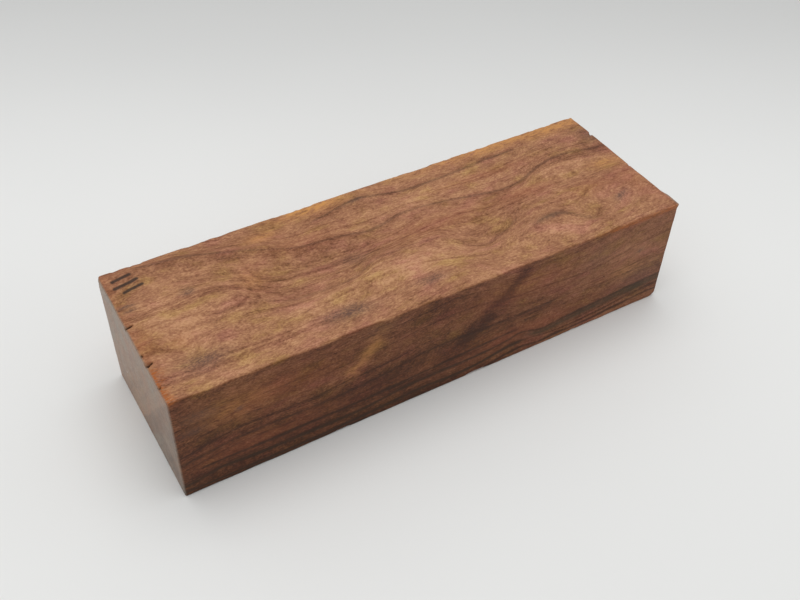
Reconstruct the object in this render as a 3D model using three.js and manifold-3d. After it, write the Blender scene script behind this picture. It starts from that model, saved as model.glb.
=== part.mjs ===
import * as THREE from "three";
import { mergeVertices } from "three/addons/utils/BufferGeometryUtils.js";
import Module from "manifold-3d";

// A block of desert ironwood heartwood, sawn and sanded from one piece of wood.
// Millimetres, +Z up. The length and the grain run along X, the front face looks towards -Y,
// and the block lies on its bottom face with the middle of its box over the origin.

const wasm = await Module();
wasm.setup();

// Driving dimensions: the blank before its edges are eased
const LENGTH = 127;
const WIDTH = 40.6;
const HEIGHT = 30.1;

// Wood that the saw takes off each side of the rough blank
const SAWING_WASTE = 4;

// Width of the flat that light sanding leaves along each edge
const EASED_EDGE = 0.4;

// Six saw cuts. Each is a little out of square, so the way it faces is not quite along an axis.
const MIDDLE = HEIGHT / 2;
const FACES = {
  bottom: sawCut([0, 0, 0], [0, 0, -1]),
  top: sawCut([0, 0, HEIGHT], [0.002, -0.015, 1]),
  front: sawCut([0, -WIDTH / 2, MIDDLE], [-0.006, -1, -0.015]),
  back: sawCut([0, WIDTH / 2, MIDDLE], [-0.0005, 1, -0.014]),
  left: sawCut([-LENGTH / 2, 0, MIDDLE], [-1, -0.002, 0.0005]),
  right: sawCut([LENGTH / 2, 0, MIDDLE], [1, 0.0035, 0.003]),
};

// Corners that are knocked off, and how much of the corner is gone, measured along each edge
const BROKEN_CORNERS = [
  { faces: ["top", "left", "back"], gone: [1.1, 1.3, 0.9] },
  { faces: ["bottom", "right", "front"], gone: [1.5, 1.2, 1.8] },
  { faces: ["bottom", "right", "back"], gone: [0.9, 0.8, 0.9] },
];

// Wood torn out along the edges. `at` places each tear on its edge, along X for the long edges
// and along Y for the end edges. `reach` is how far the tear goes along X, Y and Z from there,
// and it is longest along X because the wood tears with its grain.
const TORN_EDGES = [
  { faces: ["top", "back"], at: -53.5, reach: [2.6, 0.35, 0.35] },
  { faces: ["top", "back"], at: -41.5, reach: [3.2, 0.4, 0.35] },
  { faces: ["top", "back"], at: -35.5, reach: [2.0, 0.45, 0.4] },
  { faces: ["top", "back"], at: -18, reach: [2.4, 0.3, 0.3] },
  { faces: ["top", "back"], at: 3.5, reach: [1.8, 0.3, 0.35] },
  { faces: ["top", "back"], at: 22.5, reach: [3.0, 0.35, 0.35] },
  { faces: ["top", "back"], at: 47, reach: [2.2, 0.3, 0.3] },
  { faces: ["top", "left"], at: 2.8, reach: [2.2, 0.35, 0.8] },
  { faces: ["top", "left"], at: -6, reach: [0.7, 0.3, 0.4] },
  { faces: ["top", "left"], at: -8.7, reach: [1.4, 0.5, 0.9] },
  { faces: ["top", "left"], at: -15.5, reach: [0.7, 0.4, 0.5] },
  { faces: ["top", "right"], at: 12, reach: [1.0, 0.6, 0.9] },
  { faces: ["top", "right"], at: -3, reach: [0.6, 0.5, 0.5] },
  { faces: ["top", "front"], at: 45, reach: [2.4, 0.4, 0.5] },
  { faces: ["top", "front"], at: -29, reach: [1.6, 0.4, 0.4] },
  { faces: ["bottom", "front"], at: -27, reach: [2.4, 0.5, 0.5] },
  { faces: ["bottom", "front"], at: 9, reach: [3.0, 0.5, 0.6] },
  { faces: ["bottom", "front"], at: 37, reach: [2.0, 0.5, 0.4] },
  { faces: ["bottom", "back"], at: -46, reach: [2.8, 0.6, 0.6] },
  { faces: ["bottom", "back"], at: 14, reach: [3.4, 0.7, 0.6] },
  { faces: ["bottom", "left"], at: -13, reach: [0.9, 0.8, 0.7] },
  { faces: ["bottom", "right"], at: 5, reach: [1.2, 0.9, 0.8] },
];
const TEAR_SIDES = 9;
const TEAR_RINGS = 6;
const TEAR_TURN = 0.35;

// A thin lip of wood that the last saw cut left hanging over the right end at its front corner
const LIP = { overhang: 0.5, long: 6.5, high: 1.3 };

const wood = new THREE.MeshStandardMaterial({ color: 0x8a5c3e, roughness: 0.55, metalness: 0 });

// The plane of a face: where it lies and which way it looks
function sawCut(through, facing) {
  const normal = new THREE.Vector3(...facing).normalize();
  return new THREE.Plane().setFromNormalAndCoplanarPoint(normal, new THREE.Vector3(...through));
}

// How far a plane lies from the origin along its normal
function distance(plane) {
  return -plane.constant;
}

// The point where three planes meet
function meet(a, b, c) {
  const rows = new THREE.Matrix3();
  rows.set(...a.normal.toArray(), ...b.normal.toArray(), ...c.normal.toArray());
  return new THREE.Vector3(distance(a), distance(b), distance(c)).applyMatrix3(rows.invert());
}

// A closed geometry as a solid
function solidOf(geometry) {
  geometry.deleteAttribute("normal");
  geometry.deleteAttribute("uv");
  const merged = mergeVertices(geometry);
  const mesh = new wasm.Mesh({
    numProp: 3,
    vertProperties: new Float32Array(merged.attributes.position.array),
    triVerts: new Uint32Array(merged.index.array),
  });
  return new wasm.Manifold(mesh);
}

// A solid as a geometry with flat faces
function geometryOf(solid) {
  const mesh = solid.getMesh();
  const geometry = new THREE.BufferGeometry();
  geometry.setAttribute("position", new THREE.BufferAttribute(mesh.vertProperties, 3));
  geometry.setIndex(new THREE.BufferAttribute(mesh.triVerts, 1));
  geometry.computeVertexNormals();
  return geometry;
}

// The part of a solid behind a plane: all that the plane faces is sawn away
function sawn(solid, plane) {
  const size = 3 * LENGTH;
  const away = new THREE.BoxGeometry(size, size, size).translate(0, 0, size / 2);
  const turn = new THREE.Quaternion().setFromUnitVectors(new THREE.Vector3(0, 0, 1), plane.normal);
  away.applyQuaternion(turn);
  away.translate(...plane.normal.clone().multiplyScalar(distance(plane)).toArray());
  return solid.subtract(solidOf(away));
}

// The rough blank: a box with waste on every side but the bottom, which is already flat
function roughBlank() {
  const box = new THREE.BoxGeometry(
    LENGTH + 2 * SAWING_WASTE, WIDTH + 2 * SAWING_WASTE, HEIGHT + SAWING_WASTE);
  return solidOf(box.translate(0, 0, (HEIGHT + SAWING_WASTE) / 2));
}

// The narrow flat along the edge of two faces. It looks half way between them.
function easedEdge(a, b) {
  const between = a.normal.clone().add(b.normal);
  const edge = (distance(a) + distance(b)) / between.length();
  return new THREE.Plane(between.normalize(), EASED_EDGE / 2 - edge);
}

// The plane that knocks a corner off. `gone` is measured from the corner along X, Y and Z.
function brokenCorner({ faces, gone }) {
  const planes = faces.map((name) => FACES[name]);
  const corner = meet(...planes);
  const inward = new THREE.Vector3();
  planes.forEach((plane) => inward.sub(plane.normal));
  const [x, y, z] = gone.map((length, axis) => {
    const step = new THREE.Vector3();
    step.setComponent(axis, length * Math.sign(inward.getComponent(axis)));
    return corner.clone().add(step);
  });
  const plane = new THREE.Plane().setFromCoplanarPoints(x, y, z);
  return plane.distanceToPoint(corner) > 0 ? plane : plane.negate();
}

// The wood that is missing at a tear: a long lens along the grain, centred on the edge. Each is
// turned about the grain by its own number of radians, so no two show the same facets.
function tear({ faces, at, reach }, index) {
  const alongX = !faces.includes("left") && !faces.includes("right");
  const station = alongX ? [1, 0, 0] : [0, 1, 0];
  const slice = new THREE.Plane(new THREE.Vector3(...station), -at);
  const middle = meet(FACES[faces[0]], FACES[faces[1]], slice);
  const lens = new THREE.SphereGeometry(1, TEAR_SIDES, TEAR_RINGS);
  lens.rotateZ(Math.PI / 2);
  lens.rotateX(index);
  lens.scale(...reach);
  lens.rotateY(alongX ? 0 : TEAR_TURN * Math.sign(middle.x));
  return solidOf(lens.translate(...middle.toArray()));
}

// The lip, cut flush with the top and front faces. It hooks back into the block to hold on.
function lip() {
  const { overhang, long, high } = LIP;
  const corner = meet(FACES.top, FACES.right, FACES.front);
  const outline = new THREE.Shape();
  outline.moveTo(-overhang, -2 * high);
  outline.lineTo(overhang, -high / 2);
  outline.lineTo(overhang, high);
  outline.lineTo(-overhang, high);
  outline.closePath();
  const rough = new THREE.ExtrudeGeometry(outline, { depth: 2 * long, bevelEnabled: false });
  rough.rotateX(Math.PI / 2);
  rough.translate(corner.x, corner.y + long, corner.z);
  return sawn(sawn(solidOf(rough), FACES.top), FACES.front);
}

function ironwoodBlock() {
  const { top, front, back, left, right } = FACES;
  let block = [top, front, back, left, right].reduce(sawn, roughBlank());

  const names = Object.keys(FACES);
  const edges = names.flatMap((a, i) => names.slice(i + 1).map((b) => [FACES[a], FACES[b]]));
  const meeting = edges.filter(([a, b]) => a.normal.dot(b.normal) > -0.5);
  block = meeting.map(([a, b]) => easedEdge(a, b)).reduce(sawn, block);

  block = BROKEN_CORNERS.map(brokenCorner).reduce(sawn, block);
  TORN_EDGES.forEach((torn, index) => {
    block = block.subtract(tear(torn, index));
  });
  block = block.add(lip());

  const geometry = geometryOf(block);
  geometry.computeBoundingBox();
  const centre = geometry.boundingBox.getCenter(new THREE.Vector3());
  geometry.translate(-centre.x, -centre.y, -geometry.boundingBox.min.z);
  return geometry;
}

const part = new THREE.Group();
const block = new THREE.Mesh(ironwoodBlock(), wood);
block.name = "ironwood_block";
part.add(block);

export default part;
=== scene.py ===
"""A sawn and sanded block of desert ironwood, lying on a plain pale table in soft light.

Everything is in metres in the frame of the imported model. The wood's own sizes are written in
millimetres, and turned into metres where the mesh is made.
"""

import logging
import math
from dataclasses import dataclass
from enum import Enum
from functools import reduce
from itertools import product

import bpy
import numpy as np
from mathutils import Matrix, Vector


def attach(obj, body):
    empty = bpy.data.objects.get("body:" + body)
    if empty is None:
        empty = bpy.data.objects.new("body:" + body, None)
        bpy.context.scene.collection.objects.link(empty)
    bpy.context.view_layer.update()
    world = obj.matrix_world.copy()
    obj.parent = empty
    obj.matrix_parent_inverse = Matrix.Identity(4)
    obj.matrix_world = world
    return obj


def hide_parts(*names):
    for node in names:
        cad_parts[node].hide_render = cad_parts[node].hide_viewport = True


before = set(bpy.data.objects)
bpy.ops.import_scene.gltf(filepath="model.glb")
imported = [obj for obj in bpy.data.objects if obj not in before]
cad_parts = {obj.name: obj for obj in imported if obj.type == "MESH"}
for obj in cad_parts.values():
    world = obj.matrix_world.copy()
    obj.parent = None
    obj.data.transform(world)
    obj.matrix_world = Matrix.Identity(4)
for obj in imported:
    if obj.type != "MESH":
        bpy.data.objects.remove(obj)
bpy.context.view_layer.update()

Array = np.ndarray
Socket = bpy.types.NodeSocket
Value = Socket | float
Pair = tuple[float, float]
Triple = tuple[float, float, float]
Colour = Triple

MM = 0.001
NODE = "ironwood_block"

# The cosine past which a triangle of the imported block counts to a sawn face
FACING = 0.998

# Odd numbers that scramble a cell's place for the noise, and the shifts that mix their bits
AXIS_KEYS = (0x9E3779B1, 0x85EBCA77, 0xC2B2AE3D)
SEED_KEY = 7919
MIXING = ((15, 0x2C1B3C6D), (12, 0x297A2D39))
LAST_SHIFT = 15
TOP_VALUE = 0xFFFF

log = logging.getLogger("ironwood")


def srgb(red: int, green: int, blue: int) -> Colour:
    """Turns a colour as seen on a screen into the linear values that a shader takes.

    Args:
        red, green, blue: the colour's parts, from 0 to 255.

    Returns:
        The three linear parts, from 0 to 1.
    """
    def linear(part: int) -> float:
        """The part raised to the screen's curve."""
        return part / 255 / 12.92 if part < 11 else ((part / 255 + 0.055) / 1.055) ** 2.4
    return linear(red), linear(green), linear(blue)


def smooth(low: float, high: float, value: Array) -> Array:
    """Rises from 0 at `low` to 1 at `high` along 3t^2 - 2t^3, flat at both ends."""
    t = np.clip((value - low) / (high - low), 0.0, 1.0)
    return t * t * (3.0 - 2.0 * t)


def noise(points: Array, seed: int) -> Array:
    """Smooth value noise with one random value per unit cell corner.

    Each corner of the cell round a point gets a value from its whole-number place, scrambled by
    multiplying and shifting. The eight values are blended by 3t^2 - 2t^3 along each axis.

    Args:
        points: places, one row of three numbers each.
        seed: which of the many noises to give.

    Returns:
        One value from -1 to 1 for each place.
    """
    cell = np.floor(points).astype(np.int64)
    part = points - cell
    part = part * part * (3.0 - 2.0 * part)
    total = np.zeros(len(points))
    for corner in product((0, 1), repeat=3):
        place = (cell + corner).astype(np.uint64)
        mixed = np.bitwise_xor.reduce(place * np.array(AXIS_KEYS, np.uint64), axis=1)
        mixed = mixed ^ np.uint64(seed * SEED_KEY)
        for shift, key in MIXING:
            mixed = (mixed ^ (mixed >> np.uint64(shift))) * np.uint64(key)
        mixed = (mixed ^ (mixed >> np.uint64(LAST_SHIFT))) & np.uint64(TOP_VALUE)
        value = mixed / (TOP_VALUE / 2) - 1.0
        total += value * np.prod(np.where(corner, part, 1.0 - part), axis=1)
    return total


def layered_noise(points: Array, seed: int, layers: int = 3) -> Array:
    """Adds up `layers` noises, each twice as fine and half as strong as the one before."""
    parts = [noise(points * 2.0**n, seed + n) / 2.0**n for n in range(layers)]
    return sum(parts) / (2.0 - 2.0 ** (1 - layers))


@dataclass(frozen=True)
class Ripple:
    """A noise of its own, and how often per millimetre it changes along X, Y and Z."""

    scale: Triple
    seed: int
    layers: int = 3

    def reads(self, points: Array, index: int = 0) -> Array:
        """The noise at each place, from -1 to 1. Each `index` gives another one."""
        return layered_noise(points * self.scale, self.seed + index, self.layers)


# The noises that vary the figure of the wood
LAYER_WANDER = Ripple((0.025, 0.07, 0.07), 5, 1)
TONE_DRIFT = Ripple((0.06, 0.1, 0.1), 7)
RING_CURL = Ripple((0.06, 0.16, 0.16), 11)
LINE_SHAKE = Ripple((0.25, 0.3, 0.3), 23)
LINE_STRENGTH = Ripple((0.2, 0.02, 0.02), 31)
LINE_WIDTH = Ripple((0.13, 0.02, 0.02), 131, 1)
PATCH_ALONG = Ripple((0.15, 0.3, 0.3), 41)
PATCH_ACROSS = Ripple((0.2, 0.45, 0.45), 47)
OIL_REACH = Ripple((0.3, 1.2, 1.2), 53)
HEART_EDGE = Ripple((0.2, 0.4, 0.4), 59, 1)

# The noises that vary the shape of the surface
EDGE_EASE = Ripple((0.35, 0.35, 0.35), 61, 1)
SPLINTERS = Ripple((0.45, 0.05, 0.05), 67)
BREAK_FACE = Ripple((0.8, 3.0, 3.0), 71)
TEAR_OUTLINE = Ripple((0.4, 3.5, 3.5), 83, 1)
SANDING_WAVES = Ripple((0.12, 0.4, 0.4), 97)
SAW_RIPPLE = Ripple((1.4, 0.15, 0.15), 101, 1)


def curve(x: Array, course: tuple[Pair, ...]) -> Array:
    """A smooth line through a few points: a cubic between each pair, sloped as its neighbours are.

    Args:
        x: where to read the line.
        course: the points, from left to right, as (place along the block, height of the line).

    Returns:
        The line's height at each x, level past both ends.
    """
    across, height = np.array(course).T
    slope = np.gradient(height, across)
    x = np.clip(x, across[0], across[-1])
    left = np.clip(np.searchsorted(across, x, side="right") - 1, 0, len(across) - 2)
    step = across[left + 1] - across[left]
    t = (x - across[left]) / step
    rise = t * t * (3.0 - 2.0 * t)
    bend_in = t * (1.0 - t) ** 2 * step
    bend_out = t * t * (t - 1.0) * step
    return (height[left] + rise * (height[left + 1] - height[left])
            + bend_in * slope[left] + bend_out * slope[left + 1])


class Side(Enum):
    """A face of the block: the axis it looks along, and which way."""

    LEFT = (0, -1)
    RIGHT = (0, 1)
    FRONT = (1, -1)
    BACK = (1, 1)
    BOTTOM = (2, -1)
    TOP = (2, 1)

    @property
    def axis(self) -> int:
        """0, 1 or 2 for X, Y or Z."""
        return self.value[0]

    @property
    def sign(self) -> int:
        """1 if the face looks up its axis and -1 if it looks down it."""
        return self.value[1]

    @property
    def row(self) -> int:
        """The face's place among the six."""
        return 2 * self.axis + (self.sign > 0)


@dataclass(frozen=True)
class SawnForm:
    """The six planes that the block was sawn to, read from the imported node. Millimetres."""

    normals: Array
    distances: Array

    @classmethod
    def from_node(cls, node: bpy.types.Object) -> "SawnForm":
        """Finds each face's plane as the area-weighted mean of the triangles that look its way.

        Args:
            node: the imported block.

        Returns:
            The six planes, in the order of Side.
        """
        polygons = node.data.polygons
        normal = np.empty((len(polygons), 3))
        centre = np.empty((len(polygons), 3))
        area = np.empty(len(polygons))
        polygons.foreach_get("normal", normal.ravel())
        polygons.foreach_get("center", centre.ravel())
        polygons.foreach_get("area", area)
        normals, distances = [], []
        for side in Side:
            looks = area * (normal[:, side.axis] * side.sign > FACING)
            mean = looks @ normal / np.linalg.norm(looks @ normal)
            normals.append(mean)
            distances.append(looks @ (centre @ mean) / looks.sum() / MM)
        return cls(np.array(normals), np.array(distances))

    def depth(self, points: Array, side: Side) -> Array:
        """How far each point lies below a face."""
        return self.distances[side.row] - points @ self.normals[side.row]

    def top_over(self, x: float, y: float) -> float:
        """The height of the top face over a place on the table."""
        normal = self.normals[Side.TOP.row]
        return (self.distances[Side.TOP.row] - normal[0] * x - normal[1] * y) / normal[2]

    def place(self, shares: Array) -> Array:
        """Places points by their share of the way from the low face to the high one on each axis.

        A share of 0 or 1 lies on a face's plane. Between them the plane turns evenly from one
        face to the other, and a point is where its three planes meet.

        Args:
            shares: one row of three shares for each point.

        Returns:
            The points, in millimetres.
        """
        share = shares[:, :, None]
        planes = share * self.normals[1::2] - (1.0 - share) * self.normals[::2]
        heights = shares * self.distances[1::2] - (1.0 - shares) * self.distances[::2]
        return np.linalg.solve(planes, heights[:, :, None])[:, :, 0]

    def corner(self, *sides: Side) -> Array:
        """The point where three faces meet."""
        picked = [side.row for side in sides]
        return np.linalg.solve(self.normals[picked], self.distances[picked])

    def on_edge(self, sides: tuple[Side, Side], at: float) -> Array:
        """The point of the edge between two faces at `at` along X, or along Y on an end's edge."""
        picked = [side.row for side in sides]
        along = 1 if any(side.axis == 0 for side in sides) else 0
        rows = np.vstack([self.normals[picked], np.eye(3)[along]])
        return np.linalg.solve(rows, np.append(self.distances[picked], at))


@dataclass(frozen=True)
class Tear:
    """Wood torn out of an edge: where it is, and how far it reaches along X, Y and Z from there.

    A narrow split gets painted shade inside, as dark as `dark`, from 0 to 1.
    """

    sides: tuple[Side, Side]
    at: float
    reach: Triple
    dark: float = 0.0


@dataclass(frozen=True)
class BrokenCorner:
    """A knocked-off corner, and how much of it is gone along X, Y and Z."""

    sides: tuple[Side, Side, Side]
    gone: Triple


TOP_BACK = (Side.TOP, Side.BACK)
TOP_FRONT = (Side.TOP, Side.FRONT)
TOP_LEFT = (Side.TOP, Side.LEFT)
TOP_RIGHT = (Side.TOP, Side.RIGHT)
LOW_FRONT = (Side.BOTTOM, Side.FRONT)
LOW_BACK = (Side.BOTTOM, Side.BACK)
LOW_LEFT = (Side.BOTTOM, Side.LEFT)
LOW_RIGHT = (Side.BOTTOM, Side.RIGHT)

# A tear's last number, where given, is the painted shade inside a narrow split
TEARS = (
    Tear(TOP_BACK, -53.7, (2.6, 0.35, 0.35)), Tear(TOP_BACK, -41.7, (3.2, 0.4, 0.35)),
    Tear(TOP_BACK, -35.7, (2.0, 0.45, 0.4)), Tear(TOP_BACK, -18.2, (2.4, 0.3, 0.3)),
    Tear(TOP_BACK, 3.3, (1.8, 0.3, 0.35)), Tear(TOP_BACK, 22.3, (3.0, 0.35, 0.35)),
    Tear(TOP_BACK, 46.8, (2.2, 0.3, 0.3)), Tear(TOP_LEFT, 3.0, (2.2, 0.35, 0.8), 1.0),
    Tear(TOP_LEFT, -5.8, (0.7, 0.3, 0.4), 0.8), Tear(TOP_LEFT, -8.5, (1.4, 0.5, 0.9), 0.8),
    Tear(TOP_LEFT, -15.3, (0.7, 0.4, 0.5), 0.7), Tear(TOP_RIGHT, 12.2, (1.0, 0.6, 0.9)),
    Tear(TOP_RIGHT, -2.8, (0.6, 0.5, 0.5)), Tear(TOP_FRONT, 44.8, (2.4, 0.4, 0.5)),
    Tear(TOP_FRONT, -29.2, (1.6, 0.4, 0.4)), Tear(LOW_FRONT, -27.2, (2.4, 0.5, 0.5)),
    Tear(LOW_FRONT, 8.8, (3.0, 0.5, 0.6)), Tear(LOW_FRONT, 36.8, (2.0, 0.5, 0.4)),
    Tear(LOW_BACK, -46.2, (2.8, 0.6, 0.6)), Tear(LOW_BACK, 13.8, (3.4, 0.7, 0.6)),
    Tear(LOW_LEFT, -12.8, (0.9, 0.8, 0.7)), Tear(LOW_RIGHT, 5.2, (1.2, 0.9, 0.8)),
)

BROKEN_CORNERS = (
    BrokenCorner((Side.TOP, Side.LEFT, Side.BACK), (1.1, 1.3, 0.9)),
    BrokenCorner((Side.BOTTOM, Side.RIGHT, Side.FRONT), (1.5, 1.2, 1.8)),
    BrokenCorner((Side.BOTTOM, Side.RIGHT, Side.BACK), (0.9, 0.8, 0.9)),
)


@dataclass(frozen=True)
class GrainLine:
    """A dark growth line, followed along the block on the face where it shows best.

    `course` gives its distance from the back edge on the top face, or from the top edge on the
    front face. It shows between the two ends of `shows`, as dark as `dark` and as greenish black
    as `green`, from 0 to 1. Below 0, `dark` makes it pale. `width` is its half width in
    millimetres, and `halo` is how far it fades out on one side, towards the front if above 0.
    """

    face: Side
    course: tuple[Pair, ...]
    shows: Pair
    width: float
    dark: float
    green: float = 0.0
    halo: float = 1.5


GRAIN_LINES = (
    GrainLine(Side.TOP, ((-63, 0.3), (-45, 1.5), (-33, 4.2), (-20, 6.3), (-11, 5), (-6, 3.8),
                         (-2, 3.4), (2, 4.3), (7, 5.5), (22, 5.5), (33, 4.7), (63, 4)),
              (-16, 42), 0.4, 0.75, 0.15, -1.8),
    GrainLine(Side.TOP, ((-56, 2), (-44, 3.6), (-38, 5.7), (-28, 9.8), (-23, 12), (-12, 13.4),
                         (-6, 14.8), (5, 12.8), (16, 14), (25, 15.8), (32, 16.5), (38, 15),
                         (43, 12.9), (50, 11.8), (55, 12.3), (60, 13.5)), (-56, 66), 0.4, 0.85,
              0.0, 2.2),
    GrainLine(Side.TOP, ((-56, 8), (-50, 9.6), (-43, 11), (-38, 13.2), (-30, 17), (-6, 19),
                         (8, 17.4), (33, 17.6), (41, 14.9), (47, 14), (63, 16.5)), (-52, -32),
              0.3, 0.45, 0.0, 0.8),
    GrainLine(Side.TOP, ((-56, 9.2), (-43, 12), (-38, 14), (-30, 18), (-6, 19.8), (8, 18.2),
                         (33, 18.4), (41, 15.7), (47, 14.8), (54, 16), (63, 17.4)), (30, 56),
              0.6, -1.3, 0.0, 0.8),
    GrainLine(Side.TOP, ((-56, 14), (-47, 13.6), (-40, 16.5), (-33, 19.5), (-24, 20.8),
                         (-6, 21.3), (8, 19.8), (16, 20.5), (63, 20)), (-48, 12), 0.3, 0.4, 0.0,
              -1.2),
    GrainLine(Side.TOP, ((-56, 20), (-48, 22.8), (-37, 23.5), (-31, 26.6), (-23, 27.2),
                         (-15, 26.5), (-9, 24), (-3, 23.5), (5, 24), (8, 24.8), (11, 28.5),
                         (15, 31), (20, 30), (28, 26.5), (48, 25), (63, 24)), (-48, 28), 0.35,
              0.6, 0.0, -1.8),
    GrainLine(Side.TOP, ((-56, 32), (-36, 30.5), (0, 29.3), (14, 33.5), (24, 31.6), (29, 30.6),
                         (33, 29.8), (36, 29.9), (38.5, 31.4), (41, 34.2), (46, 35.5), (63, 31)),
              (29, 43), 0.6, 0.55, 0.3, 1.2),
    GrainLine(Side.TOP, ((-63, 37), (-16, 36), (-8, 35), (7, 34.6), (14, 37.4), (63, 36.5)),
              (-16, 8), 0.35, 0.45, 0.0, 1.0),
    GrainLine(Side.FRONT, ((-63, 19.6), (-53, 18), (-28, 17.8), (-13, 16.5), (-8, 15.5),
                           (-1, 15), (7, 15.5), (63, 15)), (-66, 30), 0.45, 0.75, 0.0, 1.2),
    GrainLine(Side.FRONT, ((-63, 21.6), (-53, 20.3), (-20, 20.1), (0, 17.8), (63, 17.4)),
              (-60, 50), 0.4, 0.4, 0.0, -0.8),
    GrainLine(Side.FRONT, ((-58, 22.7), (-20, 22.5), (5, 21.2), (63, 19.8)), (-60, 20), 0.45,
              0.8, 0.1, 0.8),
    GrainLine(Side.FRONT, ((-63, 24.4), (-20, 23.9), (7, 22.5), (20, 21.2), (63, 20.6)),
              (-62, 10), 0.4, 0.45, 0.0, 0.8),
    GrainLine(Side.FRONT, ((-63, 26.5), (-54, 25), (-48, 25.5), (-33, 25.8), (-20, 25.5),
                           (-11, 24.3), (7, 24), (16, 23.5), (21, 22.5), (26, 24), (33, 23.5),
                           (63, 21.5)), (-66, 66), 0.5, 0.75, 0.35, -1.1),
    GrainLine(Side.FRONT, ((-63, 27.6), (-20, 26.6), (7, 25), (16, 24.6), (21, 23.6), (26, 25.1),
                           (33, 24.6), (63, 22.6)), (22, 66), 0.9, 0.25, 1.0, 0.8),
    GrainLine(Side.FRONT, ((-63, 28.4), (-28, 28.4), (-18, 27.8), (-8, 27.1), (10, 27), (15, 26),
                           (20, 25.3), (28, 26.5), (63, 25)), (-66, 22), 0.5, 0.85, 0.35, -1.2),
    GrainLine(Side.FRONT, ((-63, 29.7), (-30, 29.7), (0, 28.3), (20, 26.5), (28, 27.4), (63, 26)),
              (-66, -18), 0.45, 0.7, 0.2, 0.8),
    GrainLine(Side.FRONT, ((-20, 31.5), (10, 29.5), (17, 28), (21, 27.5), (26, 28.5), (32, 27.9),
                           (41, 26.7), (52, 26.4), (63, 26.8)), (8, 66), 0.45, 0.8, 0.0, 0.8),
    GrainLine(Side.FRONT, ((-20, 32.4), (10, 30.4), (17, 28.9), (21, 28.4), (26, 29.4), (32, 28.8),
                           (41, 27.6), (52, 27.3), (63, 27.7)), (26, 66), 0.6, -1.4, 0.0, -0.5),
)


@dataclass(frozen=True)
class Cloud:
    """A soft patch in the wood, an oval that fades out.

    `x` and `layer` place its middle along the block and across its layers, `along` and `across`
    are its half sizes, `turn` leans it, in degrees, and `amount` is its strength.
    """

    x: float
    layer: float
    along: float
    across: float
    amount: float
    turn: float = 0.0

    def reads(self, x: Array, layer: Array) -> Array:
        """The patch's strength: its amount times e to the minus squared distance in half sizes."""
        cos, sin = math.cos(math.radians(self.turn)), math.sin(math.radians(self.turn))
        u = ((x - self.x) * cos + (layer - self.layer) * sin) / self.along
        v = ((layer - self.layer) * cos - (x - self.x) * sin) / self.across
        return self.amount * np.exp(-u * u - v * v)


def clouds(*rows: tuple[float, ...]) -> tuple[Cloud, ...]:
    """One patch for each row of numbers, in the order of the fields of Cloud."""
    return tuple(Cloud(*row) for row in rows)


# Where the wood runs tan, above 0, or red brown, below 0
TONES = clouds(
    (-55, 16, 4.5, 9, 0.8), (-54, 28, 3.5, 5, 0.7), (-4, 29.3, 12, 3.2, 1.0),
    (36, 36, 10, 4, 0.8), (-30, 31, 8, 2.5, 0.7), (48, 17.5, 8, 2, 0.6),
    (8, 9.5, 14, 2.5, 0.5), (-38, 14, 4, 3, 0.4), (-10, 18.5, 22, 4, -0.6),
    (15, 28, 4, 2.5, -0.6), (27, 21.5, 11, 3.5, -0.9), (57, 27, 6, 4, -0.5),
    (-62, 24.5, 3.5, 3.5, -1.0, 40), (-36, 20.5, 6, 4, -0.3), (-30, 4, 12, 2, -0.5),
    (44, 37, 2.2, 1.2, -0.9), (-12, 4, 5, 2.5, -0.5), (62, 7, 4, 5, -0.8),
    (30, 46, 12, 4, 0.5), (-48, 47, 8, 5, 0.2), (-32, 54, 10, 4, 0.5),
    (50, 52, 14, 6, 0.6), (0, 60, 14, 6, -0.4), (-2, 45, 8, 4, -0.5),
    (-61, 6, 3.5, 6, -0.6), (10.5, 52.7, 13, 2.6, -1.9, -43), (-61, 50, 3, 4, -0.7),
    (-57, 56, 3, 2, -0.6), (57, 14.2, 8, 1.7, -0.9), (-48, 3.6, 6, 1.2, -0.6),
    (-20, 13.4, 7, 1.3, -0.5), (31, 17, 8, 1.3, -0.6), (0, 6, 11, 1.8, -0.9),
    (43, 34.5, 2.5, 1.5, -0.8), (20, 30, 7, 1.2, -0.6, -15),
    (18.5, 44.5, 4, 2, -1.4, -43), (-12, 70.5, 34, 2.0, -1.3),
    (-20, 49, 7, 1.5, 0.4, -50), (-24.5, 53, 2.5, 1.6, 0.3),
    (50, 70, 14, 1.2, 0.5), (50, 16, 16, 16, -0.35), (-52, 7, 14, 7, -0.4),
    (-15, 6.2, 5, 1.4, -0.7), (-27, 2.2, 5, 1.0, -0.5), (46, 35, 3.5, 2.5, -0.8),
    (-20, 63, 24, 3.5, 0.25), (-42, 7, 9, 2.0, -0.6, 15),
    (38.5, 32, 2, 1.2, -0.7, 40), (12, 31, 6, 2.5, 0.4),
)

# Golden yellow sapwood and flecks
GOLD = clouds(
    (-14, 0.8, 8, 2.4, 1.4), (38, 0.8, 24, 2.0, 0.75), (58, 1.3, 8, 2.2, 0.5),
    (-28, 5.5, 4, 1.6, 0.5), (-19.8, 48.7, 7, 1.6, 0.4, -50),
    (-24, 53, 2, 1.6, 0.3), (-50, 49, 8, 4, 0.3), (58, 19.5, 3.5, 1.6, 0.6),
    (-35, 17, 3, 4, 0.3), (52, 57, 6, 2.5, 0.3),
)

# Red orange patches
REDS = clouds(
    (-61.5, 24, 3, 3.5, 0.5), (-55, 27, 3, 2, 0.4), (34, 20, 7, 2, 0.5),
    (50, 26, 8, 2.5, 0.4), (60, 28, 3, 7, 0.4), (10, 20, 14, 3, 0.35),
    (28, 9.5, 14, 1.6, 0.4), (-20, 11, 10, 3, 0.3), (-40, 49, 14, 4, 0.4),
    (20, 48, 16, 4, 0.35), (-45, 62, 18, 3, 0.4), (20, 63, 22, 3, 0.4),
)

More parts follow.
